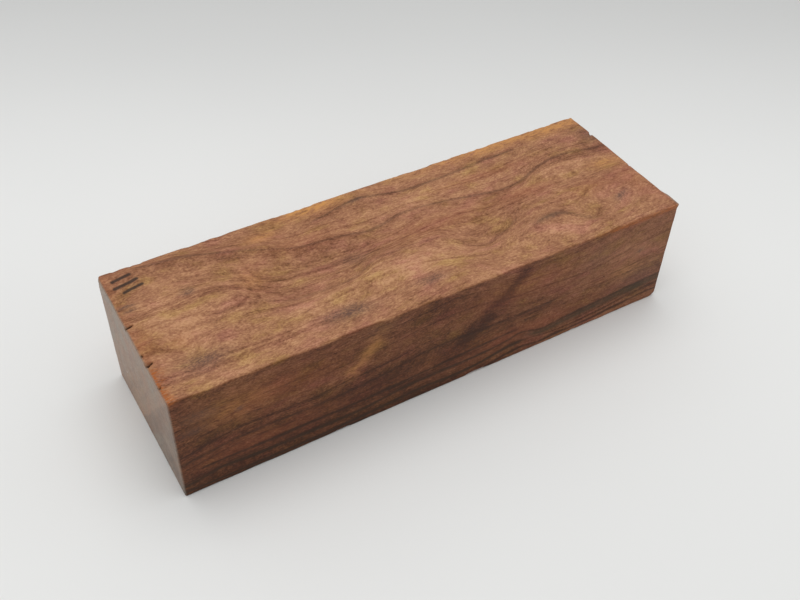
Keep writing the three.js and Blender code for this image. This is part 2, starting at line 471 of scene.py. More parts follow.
# Grey-brown mineral stain, small knots and ticks
STAINS = clouds(
    (-22, 35.8, 5.5, 1.8, 1.0), (-53.5, 34, 4.6, 2.3, 0.9),
    (-1.5, 35.3, 3.5, 1.2, 0.8), (34, 30.3, 4, 0.9, 0.6), (-49, 14, 1.2, 1.2, 0.9),
    (-3, 3.5, 2.6, 0.7, 1.0), (-12.5, 21.5, 3.5, 1.6, 0.45),
    (-7, 4.4, 2.5, 0.5, 0.5), (53.5, 31.5, 2.4, 0.9, 1.0, -30), (62, 8.5, 3, 3, 0.7),
    (-61.8, 12.4, 2, 0.4, 1.4), (-61.5, 13.8, 1.6, 0.3, 1.0),
    (-49, 49.8, 0.8, 0.5, 1.0), (53.5, 51.8, 1, 0.5, 0.9), (-60, 51.5, 3, 1.2, 0.6),
    # The patch at 56 along and layer 60 greys the lower right of the front
    (-57, 47.5, 3.5, 1.6, 0.5), (40, 49, 5, 4, 0.35), (56, 60, 9, 4, 0.45),
    (-16, 43.5, 5, 1.5, 0.3),
)

# Where growth lines close round a spot, as a small eye in the figure
EYES = clouds(
    (-42, 19, 8, 5, 3.0), (15, 20, 7, 3, 1.2), (36, 34, 6, 3, -1.5),
    (54, 18, 5, 3, 1.4), (-56, 30, 4, 4, -1.5), (-20, 44, 9, 5, 1.5),
    (40, 50, 12, 5, -2.0),
)

# Which way the crossed fibres lean: towards the front, above 0, or the back as x grows
LEANS = clouds(
    (-48, 22, 16, 16, 1.0), (-16, 30, 12, 7, -1.0), (30, 32, 14, 7, -1.0),
    (16, 20, 8, 5, 0.8), (52, 8, 12, 6, -0.6), (56, 30, 6, 8, 0.7),
)


@dataclass(frozen=True)
class Swirl:
    """Arcs of dark wood that curl round one spot, strongest at one ring about it.

    `x` and `layer` place the spot, and `along` and `across` are that ring's half sizes. Far
    from the spot is counted in those half sizes: each arc is `arc` wide, and the arcs die out
    `spread` away from the ring.
    """

    x: float
    layer: float
    along: float
    across: float
    amount: float
    arc: float = 1.0 / 3.0
    spread: float = 0.5
    lean: float = 0.6
    stands: Pair = (-0.7, 0.5)

    def reads(self, x: Array, layer: Array) -> Array:
        """The tone it adds: waves over the distance from the spot, under a bell about the ring.

        The waves stand on the low right side, which `lean` and `stands` set, and fade out on
        the high left side.

        Args:
            x, layer: the places, along the block and across its layers.

        Returns:
            The tone at each place.
        """
        u, v = (x - self.x) / self.along, (layer - self.layer) / self.across
        far = np.hypot(u, v)
        off = far - 1.0
        arcs = np.cos(2.0 * math.pi * off / self.arc) * np.exp(-((off / self.spread) ** 2))
        side = (u + self.lean * v) / np.maximum(far, 0.2)
        return -self.amount * arcs * smooth(*self.stands, side)


SWIRLS = (
    Swirl(-43.5, 16.5, 7.5, 6.5, 0.75), Swirl(41, 22.5, 8, 5, -0.5), Swirl(53, 31, 5, 4, 0.5),
)


@dataclass(frozen=True)
class Heartwood:
    """The figure of the wood: growth layers, lines and patches, as formulas of place.

    A layer's number is its distance from the back edge across the top face and on down the
    front face, so the same layers run through the block and show as arcs on the ends. Lengths
    are in millimetres. `edge_tone` and `low_tone` are a tone's depth and what the left end
    adds, `line_strength` is a line's mean strength and how far noise moves it, and `pushed` is
    how far noise pushes a patch along the block and across the layers.
    """

    form: SawnForm
    bulge: float = 0.008
    wander: float = 5.0
    wander_from: float = 300.0
    line_gap: float = 0.5
    ring_noise: float = 0.9
    line_shake: float = 0.2
    line_varies: float = 0.5
    line_flank: float = 1.8
    line_fade: float = 3.0
    line_strength: Pair = (0.85, 0.3)
    halo_starts: float = 0.3
    shade_width: float = 1.5
    heart_shake: float = 0.5
    heart_edge: Pair = (-0.3, 0.6)
    heart_low: Pair = (8.0, 24.0)
    heart_left: Pair = (-40.0, 60.0)
    edge_tone: Pair = (1.6, 1.0)
    low_tone: Pair = (0.45, 0.3)
    pushed: Pair = (1.6, 0.8)

    def layer(self, points: Array) -> Array:
        """The distance across the layers: the block's width, less the depth behind the front,
        plus the depth below the top.

        Both depths multiplied together and by `bulge` are taken off, which bends the layers
        inside the block and leaves the two faces alone. Away from both faces they also wander.

        Args:
            points: places in the block, in millimetres.

        Returns:
            The layer's number at each place.
        """
        front, top = (np.maximum(self.form.depth(points, side), 0.0) for side in
                      (Side.FRONT, Side.TOP))
        inside = front * top
        far = inside / (inside + self.wander_from)
        drift = self.wander * LAYER_WANDER.reads(points) * far
        return self.width - front + top - self.bulge * inside + drift

    @property
    def width(self) -> float:
        """The top face's width, where the layers turn down the front."""
        return float(self.form.on_edge(TOP_BACK, 0.0)[1] - self.form.on_edge(TOP_FRONT, 0.0)[1])

    def start(self, line: GrainLine) -> float:
        """The layer from which a line's course is counted."""
        return 0.0 if line.face is Side.TOP else self.width

    def courses(self, x: Array) -> Array:
        """The layer of every line at each x, kept in order and `line_gap` apart or more."""
        found = np.stack([self.start(line) + curve(x, line.course) for line in GRAIN_LINES])
        steps = self.line_gap * np.arange(len(found))[:, None]
        return np.maximum.accumulate(found - steps, axis=0) + steps

    def rings(self, points: Array) -> Array:
        """A growth ring number whose lines of equal value follow the drawn grain lines.

        Between two grain lines it rises evenly from one line's mean layer to the next one's.
        The eyes and a little noise are added, so that finer lines curl and never run dead even.

        Args:
            points: places in the block, in millimetres.

        Returns:
            The ring number, which grows by about 1 for each millimetre.
        """
        layer, courses = self.layer(points), self.courses(points[:, 0])
        means = np.array([self.start(line) + np.mean([y for _, y in line.course])
                          for line in GRAIN_LINES])
        ring = means[0] + np.minimum(layer - courses[0], 0.0)
        for low, high, rise in zip(courses, courses[1:], np.diff(means)):
            ring = ring + rise * np.clip((layer - low) / (high - low), 0.0, 1.0)
        ring = ring + np.maximum(layer - courses[-1], 0.0)
        ring = ring + sum(eye.reads(points[:, 0], layer) for eye in EYES)
        return ring + self.ring_noise * RING_CURL.reads(points)

    def lines(self, points: Array) -> tuple[Array, Array, Array]:
        """How dark and how green each place is from the grain lines, and how shaded.

        Across a line the strength is a tent, and the finish sharpens its flanks. The shade is a
        bell curve and a wider half bell on the side of its halo. Along the line its width and
        both strengths rise and fall with noise, and they fade past the ends it shows between. A
        pale line's shade is below 0.

        Args:
            points: places in the block, in millimetres.

        Returns:
            Three arrays: the dark and the greenish black up to about 2, the shade up to 1.
        """
        x = points[:, 0]
        layer = self.layer(points) + self.line_shake * LINE_SHAKE.reads(points)
        rise, fall = -self.line_fade, self.line_fade
        dark, green, shade = np.zeros((3, len(points)))
        for index, (line, course) in enumerate(zip(GRAIN_LINES, self.courses(x))):
            off = layer - course
            width = line.width * (1.0 + self.line_varies * LINE_WIDTH.reads(points, index))
            tent = np.maximum(self.line_flank - np.abs(off) / width, 0.0)
            halo = smooth(-self.halo_starts, self.halo_starts, off * np.sign(line.halo))
            halo = halo * np.exp(-((off / line.halo) ** 2))
            halo = np.maximum(halo, np.exp(-((off / (self.shade_width * line.width)) ** 2)))
            start, end = line.shows
            fade = smooth(rise, fall, x - start) * (1.0 - smooth(rise, fall, x - end))
            steady, varies = self.line_strength
            fade = fade * (steady + varies * LINE_STRENGTH.reads(points, index))
            dark = np.maximum(dark, line.dark * tent * fade)
            green = np.maximum(green, line.green * tent * fade)
            shade = shade + line.dark * halo * fade
        return dark, green, shade

    def heart(self, points: Array) -> tuple[Array, Array, Array]:
        """How deep in the dark heart each place is, past the layer at the top front edge.

        Args:
            points: places in the block, in millimetres.

        Returns:
            Three arrays: how deep, from 0 to 1, then the part from 0 to 1 that the heart's thin
            dark lines take, and what the heart adds to the tone, which is below 0 and lowest
            towards the left end.
        """
        past = self.layer(points) + self.heart_shake * HEART_EDGE.reads(points) - self.width
        left = 1.0 - smooth(*self.heart_left, points[:, 0])
        low, deep = smooth(*self.heart_low, past), smooth(*self.heart_edge, past)
        edge_tone = self.edge_tone[0] + self.edge_tone[1] * left
        low_tone = self.low_tone[0] + self.low_tone[1] * left
        return deep, low, -edge_tone * deep - low_tone * low

    def patches(self, points: Array, patches: tuple[Cloud | Swirl, ...]) -> Array:
        """The sum of some patches, read at places that noise has `pushed` about."""
        x = points[:, 0] + self.pushed[0] * PATCH_ALONG.reads(points)
        layer = self.layer(points) + self.pushed[1] * PATCH_ACROSS.reads(points)
        return sum(patch.reads(x, layer) for patch in patches)


@dataclass(frozen=True)
class Chips:
    """What the saw and handling did to the edges. Millimetres.

    A pair is where an effect is whole and where it ends, counted from its edge, corner or face.
    """

    form: SawnForm
    ease: float = 0.42
    ease_varies: float = 0.3
    splintered: float = 1.4
    splinter_zone: Pair = (1.5, 3.0)
    break_rough: float = 0.12
    break_sunk: float = 0.05
    break_reach: float = 6.0
    break_shows: float = 0.15
    tear_varies: float = 0.35
    tear_shows: float = 0.12
    lip_overhang: float = 0.45
    lip_down: Pair = (0.0, 1.3)
    lip_back: Pair = (3.9, 6.5)
    lip_in: Pair = (0.0, 1.2)
    wave_depth: float = 0.05
    ripple_depth: float = 0.015
    wave_zone: Pair = (0.05, 0.4)

    def eased(self, points: Array) -> Array:
        """Rounds the edges over.

        Each point is pulled in from every face that is nearer than the radius, by what is
        missing to it, and then pushed out again by the radius along the same way. On a face
        this changes nothing, along an edge it gives a quarter round, and at a corner a ball.
        The radius varies, most along the top back edge, which is ragged from the saw.

        Args:
            points: the surface as it was sawn.

        Returns:
            The surface with its edges eased.
        """
        radius = self.ease * (1.0 + self.ease_varies * EDGE_EASE.reads(points))
        ragged = np.maximum(SPLINTERS.reads(points), 0.0)
        far = np.maximum(*(self.form.depth(points, side) for side in TOP_BACK))
        radius = radius + self.splintered * ragged * (1.0 - smooth(*self.splinter_zone, far))
        pull = np.zeros_like(points)
        for side, normal in zip(Side, self.form.normals):
            missing = np.maximum(radius - self.form.depth(points, side), 0.0)
            pull += missing[:, None] * normal
        length = np.linalg.norm(pull, axis=1, keepdims=True)
        return points - pull + pull / np.maximum(length, 1e-9) * radius[:, None]

    def broken(self, points: Array, torn: Array) -> Array:
        """Cuts the knocked-off corners: what lies past a corner's plane is laid onto it.

        Args:
            points: the surface.
            torn: how torn each point is, which is updated in place.

        Returns:
            The surface with its corners gone.
        """
        for broken in BROKEN_CORNERS:
            corner = self.form.corner(*broken.sides)
            inward = -np.array([side.sign for side in sorted(broken.sides, key=lambda s: s.axis)])
            ends = corner + np.diag(inward * broken.gone)
            normal = np.cross(ends[1] - ends[0], ends[2] - ends[0])
            normal *= -np.sign(normal @ inward) / np.linalg.norm(normal)
            rough = self.break_rough * BREAK_FACE.reads(points) - self.break_sunk
            near = np.linalg.norm(points - corner, axis=1) < self.break_reach
            past = np.maximum((points - ends[0]) @ normal + rough, 0.0) * near
            points = points - past[:, None] * normal
            np.maximum(torn, smooth(0.0, self.break_shows, past), out=torn)
        return points

    def tears(self, points: Array, torn: Array) -> Array:
        """Carves the tears: each point inside a tear's oval moves inward to the oval's far side.

        The way in is half way between the two faces. With the place and the way both divided
        by the tear's reach the oval is a unit ball, and the distance to its far side is the
        root of a quadratic. The reach is uneven, so that the tear's outline is splintery.

        Args:
            points: the surface.
            torn: how torn each point is, up to 1, or up to 2 where a split gets painted shade
                inside. It is updated in place.

        Returns:
            The surface with its edges torn.
        """
        for index, tear in enumerate(TEARS):
            middle = self.form.on_edge(tear.sides, tear.at)
            inward = -self.form.normals[[side.row for side in tear.sides]].sum(axis=0)
            inward /= np.linalg.norm(inward)
            uneven = 1.0 + self.tear_varies * TEAR_OUTLINE.reads(points, index)
            reach = np.array(tear.reach) * uneven[:, None]
            place, way = (points - middle) / reach, inward / reach
            square = np.einsum("ij,ij->i", way, way)
            half = np.einsum("ij,ij->i", place, way)
            inside = 1.0 - np.einsum("ij,ij->i", place, place)
            root = np.sqrt(np.maximum(half * half + square * inside, 0.0))
            move = np.where(inside > 0.0, (root - half) / square, 0.0)
            points = points + move[:, None] * inward
            shows = smooth(0.0, self.tear_shows, move)
            # above 1 is the painted shade inside a narrow split
            np.maximum(torn, shows * (1.0 + tear.dark), out=torn)
        return points

    def lip(self, points: Array) -> Array:
        """Pushes the top of the right end out at the front corner, fading down and back."""
        push = np.full(len(points), self.lip_overhang)
        for side, zone in ((Side.TOP, self.lip_down), (Side.FRONT, self.lip_back),
                           (Side.RIGHT, self.lip_in)):
            push = push * (1.0 - smooth(*zone, self.form.depth(points, side)))
        return points + push[:, None] * np.array([1.0, 0.0, 0.0])

    def worn(self, points: Array) -> Array:
        """Sinks the faces by a few hundredths, in long shallow waves that the sanding left."""
        depth = (self.wave_depth * (0.5 + 0.5 * SANDING_WAVES.reads(points))
                 + self.ripple_depth * (0.5 + 0.5 * SAW_RIPPLE.reads(points)))
        for side, normal in zip(Side, self.form.normals):
            if side is not Side.BOTTOM:
                near = 1.0 - smooth(*self.wave_zone, self.form.depth(points, side))
                points = points - (depth * near)[:, None] * normal
        return points


@dataclass(frozen=True)
class Lattice:
    """The grid on the block's surface: fine cells along every edge and wider ones between.

    The wider cells are longer along the grain than across it, where the figure changes faster.
    """

    form: SawnForm
    edge_zone: float = 1.28
    edge_cells: int = 8
    cell: Triple = (0.75, 0.38, 0.38)

    def shares(self, length: float, cell: float) -> Array:
        """The grid's places along one axis, as shares of its length."""
        zone = self.edge_zone / length
        middle = round((length - 2 * self.edge_zone) / cell)
        return np.concatenate([
            np.linspace(0.0, zone, self.edge_cells, endpoint=False),
            np.linspace(zone, 1.0 - zone, middle, endpoint=False),
            np.linspace(1.0 - zone, 1.0, self.edge_cells + 1),
        ])

    def surface(self) -> tuple[Array, Array]:
        """Lays a closed skin of four-sided cells over the six faces.

        The skin is the outside of a block of numbered grid points. Neighbouring faces share
        the points of their edge, so it has no seam, and every cell's corners run so that it
        looks outwards.

        Returns:
            The points in millimetres, and four point numbers for each cell.
        """
        low, high = (self.form.place(np.full((1, 3), end))[0] for end in (0.0, 1.0))
        marks = [self.shares(length, cell) for length, cell in zip(high - low, self.cell)]
        counts = [len(mark) for mark in marks]
        skin = np.ones(counts, bool)
        skin[1:-1, 1:-1, 1:-1] = False
        numbers = np.full(counts, -1)
        numbers[skin] = np.arange(skin.sum())
        picked = np.nonzero(skin)
        points = self.form.place(np.stack([m[i] for m, i in zip(marks, picked)], axis=1))
        return points, np.concatenate([self.cells(numbers, side) for side in Side])

    @staticmethod
    def cells(numbers: Array, side: Side) -> Array:
        """The cells of one face, turned to look outwards."""
        sheet = np.take(numbers, -1 if side.sign > 0 else 0, axis=side.axis)
        cells = np.stack([sheet[:-1, :-1], sheet[1:, :-1], sheet[1:, 1:], sheet[:-1, 1:]], axis=-1)
        cells = cells.reshape(-1, 4)
        turned = (side.axis == 1) == (side.sign > 0)
        return cells[:, ::-1] if turned else cells


@dataclass(frozen=True)
class Weave:
    """A shader noise: how often it changes along each of its three ways, and how fine it is."""

    scale: Triple
    detail: float = 2.0
    roughness: float = 0.5
    warp: float = 0.0


# The grain, read along x, the ring number and the way across the rings
FIBRE = Weave((0.6, 3.6, 1.8), 3.0, 0.65, 0.1)
BROAD = Weave((0.07, 0.35, 0.1))
MOTTLE = Weave((0.3, 0.6, 0.3), 4.0, 0.6, 0.4)
GRIT = Weave((1.7, 2.4, 2.0), 2.0, 0.6)
GROWTH = Weave((0.008, 1.0, 0.02), 3.0, 0.65)
WAVE = Weave((0.16, 0.3, 0.1))
CROSSED = Weave((0.9, 3.0, 1.2), 3.0, 0.6, 0.1)
CROSSED_PATCH = Weave((0.07, 0.17, 0.08))
PORES = Weave((0.55, 2.6, 2.6))
# Its tint, read along x, across the rings and along the ring number
TINT = Weave((0.12, 0.15, 0.22), 4.0, 0.55)

# The ink's bleeding and the unsteady hand, read along x and y
BLEEDING = Weave((1.2, 3.5, 0.0), 3.0, 0.6)
SHAKING = Weave((0.25, 0.25, 0.0), 1.0)

# The wax and its painted sheen on the ends, read along y and z
WAX_SCRATCH = Weave((3.0, 0.15, 0.0), 3.0, 0.6)
WAX_CLOUD = Weave((0.17, 0.15, 0.0), 5.0, 0.7)
WAX_GRAIN = Weave((1.3, 1.0, 0.0), 4.0, 0.75)
WAX_COOL = Weave((0.12, 0.1, 0.0), 5.0, 0.7)
WAX_SPECKS = Weave((0.16, 0.13, 0.0))

# The table's mottle, read in metres
PAPER = Weave((6.0, 6.0, 6.0))


class Bench:
    """Lays out the shader nodes of one material and joins them."""

    def __init__(self, name: str) -> None:
        """Makes the material, with a surface shader joined to its output."""
        self.material = bpy.data.materials.new(name)
        self.material.use_nodes = True
        self.tree = self.material.node_tree
        self.tree.nodes.clear()
        self.shader = self.node("BsdfPrincipled")
        self.plug(self.node("OutputMaterial").inputs["Surface"], self.shader.outputs[0])

    def node(self, kind: str, **settings: object) -> bpy.types.Node:
        """Adds a node and gives it its settings."""
        made = self.tree.nodes.new("ShaderNode" + kind)
        for name, value in settings.items():
            setattr(made, name, value)
        return made

    def plug(self, socket: Socket, value: object) -> None:
        """Joins a socket to another, or sets it to a plain value."""
        if isinstance(value, bpy.types.NodeSocket):
            self.tree.links.new(value, socket)
        else:
            socket.default_value = value

    def look(self, **values: Value) -> None:
        """Sets the surface shader's sockets, named with _ for each space."""
        for name, value in values.items():
            self.plug(self.shader.inputs[name.replace("_", " ")], value)

    def place(self) -> bpy.types.NodeOutputs:
        """The place on the object as three numbers, in metres."""
        parts = self.node("SeparateXYZ")
        self.plug(parts.inputs[0], self.node("TexCoord").outputs["Object"])
        return parts.outputs

    def math(self, operation: str, a: Value, b: Value = 0.0) -> Socket:
        """One sum on one or two numbers."""
        made = self.node("Math", operation=operation)
        self.plug(made.inputs[0], a)
        self.plug(made.inputs[1], b)
        return made.outputs[0]

    def times(self, a: Value, b: Value) -> Socket:
        """The product of two numbers."""
        return self.math("MULTIPLY", a, b)

    def plus(self, a: Value, b: Value) -> Socket:
        """The sum of two numbers."""
        return self.math("ADD", a, b)

    def less(self, a: Value, b: Value) -> Socket:
        """What is left of a number when another is taken off."""
        return self.math("SUBTRACT", a, b)

    def attribute(self, name: str) -> Socket:
        """A number that the mesh carries at its points."""
        return self.node("Attribute", attribute_name=name).outputs["Fac"]

    def between(self, value: Value, low: float, high: float,
                to_low: float = 0.0, to_high: float = 1.0) -> Socket:
        """Maps low..high onto to_low..to_high, smoothly and held at both ends."""
        made = self.node("MapRange", interpolation_type="SMOOTHSTEP")
        for socket, part in zip(made.inputs, (value, low, high, to_low, to_high)):
            self.plug(socket, part)
        return made.outputs[0]

    def scaled(self, place: tuple[Value, ...], scale: tuple[float, ...]) -> Socket:
        """Three numbers as one place, with each of them multiplied."""
        made = self.node("CombineXYZ")
        for socket, part, by in zip(made.inputs, place, scale):
            self.plug(socket, self.times(part, by))
        return made.outputs[0]

    def weighed(self, *parts: tuple[Value, float]) -> Socket:
        """The sum of some numbers, each multiplied by its share."""
        return reduce(self.plus, (self.times(value, share) for value, share in parts))

    def fade(self, share: Value, a: Value, b: Value) -> Socket:
        """A number between a and b."""
        made = self.node("Mix", data_type="FLOAT", clamp_factor=True)
        for socket, part in zip((made.inputs[0], made.inputs[2], made.inputs[3]), (share, a, b)):
            self.plug(socket, part)
        return made.outputs[0]

    def ramp(self, value: Value, stops: tuple[tuple[float, Colour], ...]) -> Socket:
        """The colour at a value between the stops of a scale."""
        made = self.node("ValToRGB")
        self.plug(made.inputs[0], value)
        elements = made.color_ramp.elements
        while len(elements) < len(stops):
            elements.new(1.0)
        for element, (at, colour) in zip(elements, stops):
            element.position = at
            element.color = (*colour, 1.0)
        return made.outputs[0]

    def noise(self, place: tuple[Value, ...], weave: Weave) -> Socket:
        """Noise from 0 to 1."""
        made = self.node("TexNoise", noise_dimensions="3D")
        self.plug(made.inputs["Vector"], self.scaled(place, weave.scale))
        for name, value in (("Scale", 1.0), ("Detail", weave.detail),
                            ("Roughness", weave.roughness), ("Distortion", weave.warp)):
            made.inputs[name].default_value = value
        return made.outputs["Fac"]

    def cells(self, place: tuple[Value, ...], weave: Weave) -> Socket:
        """The distance to the nearest of many scattered points."""
        made = self.node("TexVoronoi", feature="F1", voronoi_dimensions="3D")
        self.plug(made.inputs["Vector"], self.scaled(place, weave.scale))
        made.inputs["Scale"].default_value = 1.0
        return made.outputs["Distance"]

    def mix(self, share: Value, a: Socket | Colour, b: Socket | Colour,
            blend: str = "MIX") -> Socket:
        """A colour between a and b."""
        made = self.node("Mix", data_type="RGBA", blend_type=blend, clamp_factor=False)
        self.plug(made.inputs[0], share)
        for socket, part in zip(made.inputs[6:8], (a, b)):
            self.plug(socket, part if isinstance(part, bpy.types.NodeSocket) else (*part, 1.0))
        return made.outputs[2]

    def capsule(self, across: Value, along: Value, middle: Pair,
                half_long: float) -> Socket:
        """The distance from a straight stroke: how far sideways, and how far past its ends."""
        side = self.less(across, middle[0])
        way = self.math("ABSOLUTE", self.less(along, middle[1]))
        past = self.math("MAXIMUM", self.less(way, half_long), 0.0)
        return self.math("SQRT", self.plus(self.times(side, side), self.times(past, past)))


@dataclass(frozen=True)
class TallyMark:
    """A short tally in felt-tip pen near the left end: a few plain strokes. Millimetres."""

    middle: Pair = (-58.9, 15.4)
    turn: float = 12.0
    strokes: tuple[Triple, ...] = (
        (-2.1, 0.3, 2.1), (0.1, -0.2, 2.6), (2.2, -0.1, 2.0))
    edge: Pair = (0.4, 0.82)
    bleeds: float = 0.35
    wobble: float = 0.6
    soaks: Pair = (0.9, 0.5)
    strength: float = 0.88
    ink: Colour = srgb(44, 31, 26)

    def drawn(self, bench: Bench, x: Socket, y: Socket, z: Socket, top: float) -> Socket:
        """How much ink lies at each place.

        The strokes run along the grain, side by side, and waver by the unsteady hand's
        `wobble`. The ink thins out between the two distances of `edge` from a stroke's middle
        line, unevenly as it `bleeds`, and between the two depths of `soaks` below the top.

        Args:
            bench: the material's nodes.
            x, y, z: the place, in millimetres.
            top: the height of the top face.

        Returns:
            The ink, from 0 to `strength`.
        """
        cos, sin = math.cos(math.radians(self.turn)), math.sin(math.radians(self.turn))
        dx, dy = bench.less(x, self.middle[0]), bench.less(y, self.middle[1])
        shaky = bench.less(bench.noise((x, y, y), SHAKING), 0.5)
        along = bench.weighed((dx, cos), (dy, sin))
        across = bench.weighed((dy, cos), (dx, -sin), (shaky, self.wobble))
        nearest = reduce(lambda a, b: bench.math("MINIMUM", a, b), [
            bench.capsule(across, along, (off, shift), half_long)
            for off, shift, half_long in self.strokes])
        ragged = bench.weighed((nearest, 1.0), (bench.noise((x, y, y), BLEEDING), self.bleeds))
        high = bench.between(z, top - self.soaks[0], top - self.soaks[1], 0.0, self.strength)
        return bench.times(bench.between(ragged, *self.edge, 1.0, 0.0), high)


@dataclass(frozen=True)
class IronwoodFinish:
    """Sanded, lightly oiled desert ironwood, with waxed ends under partly painted sheen.

    `grain_shares` is how much each kind of grain moves the tone, outside and in the heart.
    `cast` and `line_share` are a share and what the heart adds to it, `crossing` is how many
    degrees the crossed fibres lean, and `roughness` is that of low and of raised fibres.
    """

    tones: tuple[tuple[float, Colour], ...] = (
        (0.0, srgb(65, 35, 18)), (0.22, srgb(99, 58, 34)), (0.44, srgb(131, 84, 56)),
        (0.6, srgb(150, 102, 72)), (0.77, srgb(168, 119, 84)), (1.0, srgb(190, 141, 103)))
    middle_tone: float = 0.59
    tone_share: float = 0.16
    grain_shares: tuple[tuple[str, float, float], ...] = (
        ("fibre", 0.5, 0.2), ("broad", 0.15, 0.15), ("curl", 0.62, 0.15), ("mottle", 0.85, 0.6),
        ("grit", 0.75, 0.75), ("growth", -0.18, -0.15))
    pink_cast: Colour = (1.03, 0.95, 1.1)
    olive_cast: Colour = (0.97, 1.05, 0.83)
    gold: Colour = srgb(196, 138, 76)
    red: Colour = srgb(160, 84, 56)
    dark_line_and_split_shade: Colour = srgb(48, 28, 17)
    green_black: Colour = srgb(60, 50, 33)
    stain: Colour = srgb(98, 70, 58)
    oil_soaked: Colour = srgb(160, 88, 38)
    torn: Colour = srgb(120, 72, 44)
    # The two milky colours of the ends' veil, partly wax and partly painted sheen
    wax: tuple[Colour, Colour] = (srgb(153, 125, 102), srgb(144, 132, 117))
    grime: Colour = srgb(84, 70, 60)
    speck: Colour = srgb(205, 198, 190)
    mark: TallyMark = TallyMark()
    roughness: Pair = (0.62, 0.48)
    torn_roughness: float = 0.3
    specular: float = 0.2
    coat: float = 0.3
    coat_roughness: float = 0.3
    bump_strength: float = 0.6
    bump_depth: float = 0.00006
    crossing: Pair = (27.0, -25.0)
    leaning: float = -0.2
    waving: float = 1.6
    cast: Pair = (1.2, 0.35)
    line_share: Pair = (0.34, 0.43)
    thin_line_share: float = 0.5
    line_fibres: float = -0.35
    red_share: float = 0.45
    green_share: float = 0.5
    pore_share: float = 0.25

    def material(self, top: float) -> bpy.types.Material:
        """Makes the material.

        Args:
            top: the height of the top face at the tally mark, in millimetres.

        Returns:
            The material, which reads the figure from the mesh's own attributes.
        """
        bench = Bench("oiled_ironwood")
        x, y, z = (bench.times(part, 1.0 / MM) for part in bench.place())
        grain = self.figure(bench, x, y, z)
        fibre = grain["fibre"]
        ink = self.mark.drawn(bench, x, y, z, top)
        colour = bench.mix(ink, self.colour(bench, grain), self.mark.ink)
        rough = bench.weighed((bench.between(fibre, 0.3, 0.7, *self.roughness), 1.0),
                              (bench.attribute("torn"), self.torn_roughness))

        bump = bench.node("Bump")
        bump.inputs["Strength"].default_value = self.bump_strength
        bump.inputs["Distance"].default_value = self.bump_depth
        bench.plug(bump.inputs["Height"], bench.weighed((fibre, 0.5), (grain["pores"], -1.0)))
        bench.look(Base_Color=self.waxed(bench, colour, fibre, y, z), Roughness=rough,
                   Specular_IOR_Level=self.specular, Coat_Roughness=self.coat_roughness,
                   Coat_Weight=bench.times(bench.attribute("wax"), self.coat),
                   Normal=bump.outputs[0])
        return bench.material

    def figure(self, bench: Bench, x: Socket, y: Socket, z: Socket) -> dict[str, Socket]:
        """The fine grain, read along the growth rings.

        A place is given as x, the ring number and the way across the rings on a face. Noise
        drawn out along x gives fibres and thin growth lines, scattered cells give pores, and
        noise that leans one way in some patches and the other way in the rest gives the curl
        of crossed grain.

        Args:
            bench: the material's nodes.
            x, y, z: the place, in millimetres.

        Returns:
            The kinds of grain by name, each from 0 to 1.
        """
        across, rings = bench.less(y, z), bench.attribute("rings")
        growth = bench.noise((x, rings, across), GROWTH)
        wave = bench.noise((x, rings, across), WAVE)
        rings = bench.weighed((rings, 1.0), (wave, self.waving))
        place = (x, rings, across)

        def crossed(lean: float) -> Socket:
            """Fibres that lean by `lean` degrees to the growth rings."""
            cos, sin = math.cos(math.radians(lean)), math.sin(math.radians(lean))
            along = bench.weighed((x, cos), (rings, sin))
            beside = bench.weighed((x, -sin), (rings, cos))
            return bench.noise((along, beside, across), CROSSED)

        patch = bench.weighed((bench.noise(place, CROSSED_PATCH), 1.0),
                              (bench.attribute("lean"), self.leaning))
        return {
            "growth": bench.between(growth, 0.53, 0.66),
            "curl": bench.fade(bench.between(patch, 0.42, 0.58), *map(crossed, self.crossing)),
            "tint": bench.noise((x, across, rings), TINT),
            "pores": bench.between(bench.cells(place, PORES), 0.08, 0.24, 1.0, 0.0),
            "fibre": bench.noise(place, FIBRE),
            "broad": bench.noise(place, BROAD),
            "mottle": bench.noise(place, MOTTLE),
            "grit": bench.noise(place, GRIT),
        }

    def colour(self, bench: Bench, grain: dict[str, Socket]) -> Socket:
        """The colour of the wood.

        The tone, from dark through red brown and brown to tan, is the mesh's own patches plus
        each kind of grain by its share, the second share in the heart. The tint gives it a pink
        or an olive cast, a little stronger in the heart. Gold, red, stain, dark lines,
        green-black bands, pores, oil and torn wood follow, each mixed in by its own share, and
        last the painted shade inside the narrow splits.

        Args:
            bench: the material's nodes.
            grain: the fine grain from `figure`.

        Returns:
            The colour before ink and wax.
        """
        deep, heart, dark, torn, oil, gold, red, green, stain, tone = map(bench.attribute, (
            "deep", "heart", "dark", "torn", "oil", "gold", "red", "green", "stain", "tone"))
        tone = bench.weighed((tone, self.tone_share), (1.0, self.middle_tone))
        for kind, share, deep_share in self.grain_shares:
            off = bench.less(grain[kind], 0.5)
            tone = bench.plus(tone, bench.times(off, bench.fade(deep, share, deep_share)))
        colour = bench.ramp(tone, self.tones)
        cast = bench.weighed((1.0, self.cast[0]), (deep, self.cast[1]))
        for tint, limits in ((self.pink_cast, (0.5, 0.72, 0.0, 1.0)),
                             (self.olive_cast, (0.28, 0.5, 1.0, 0.0))):
            share = bench.times(bench.between(grain["tint"], *limits), cast)
            colour = bench.mix(share, colour, tint, "MULTIPLY")

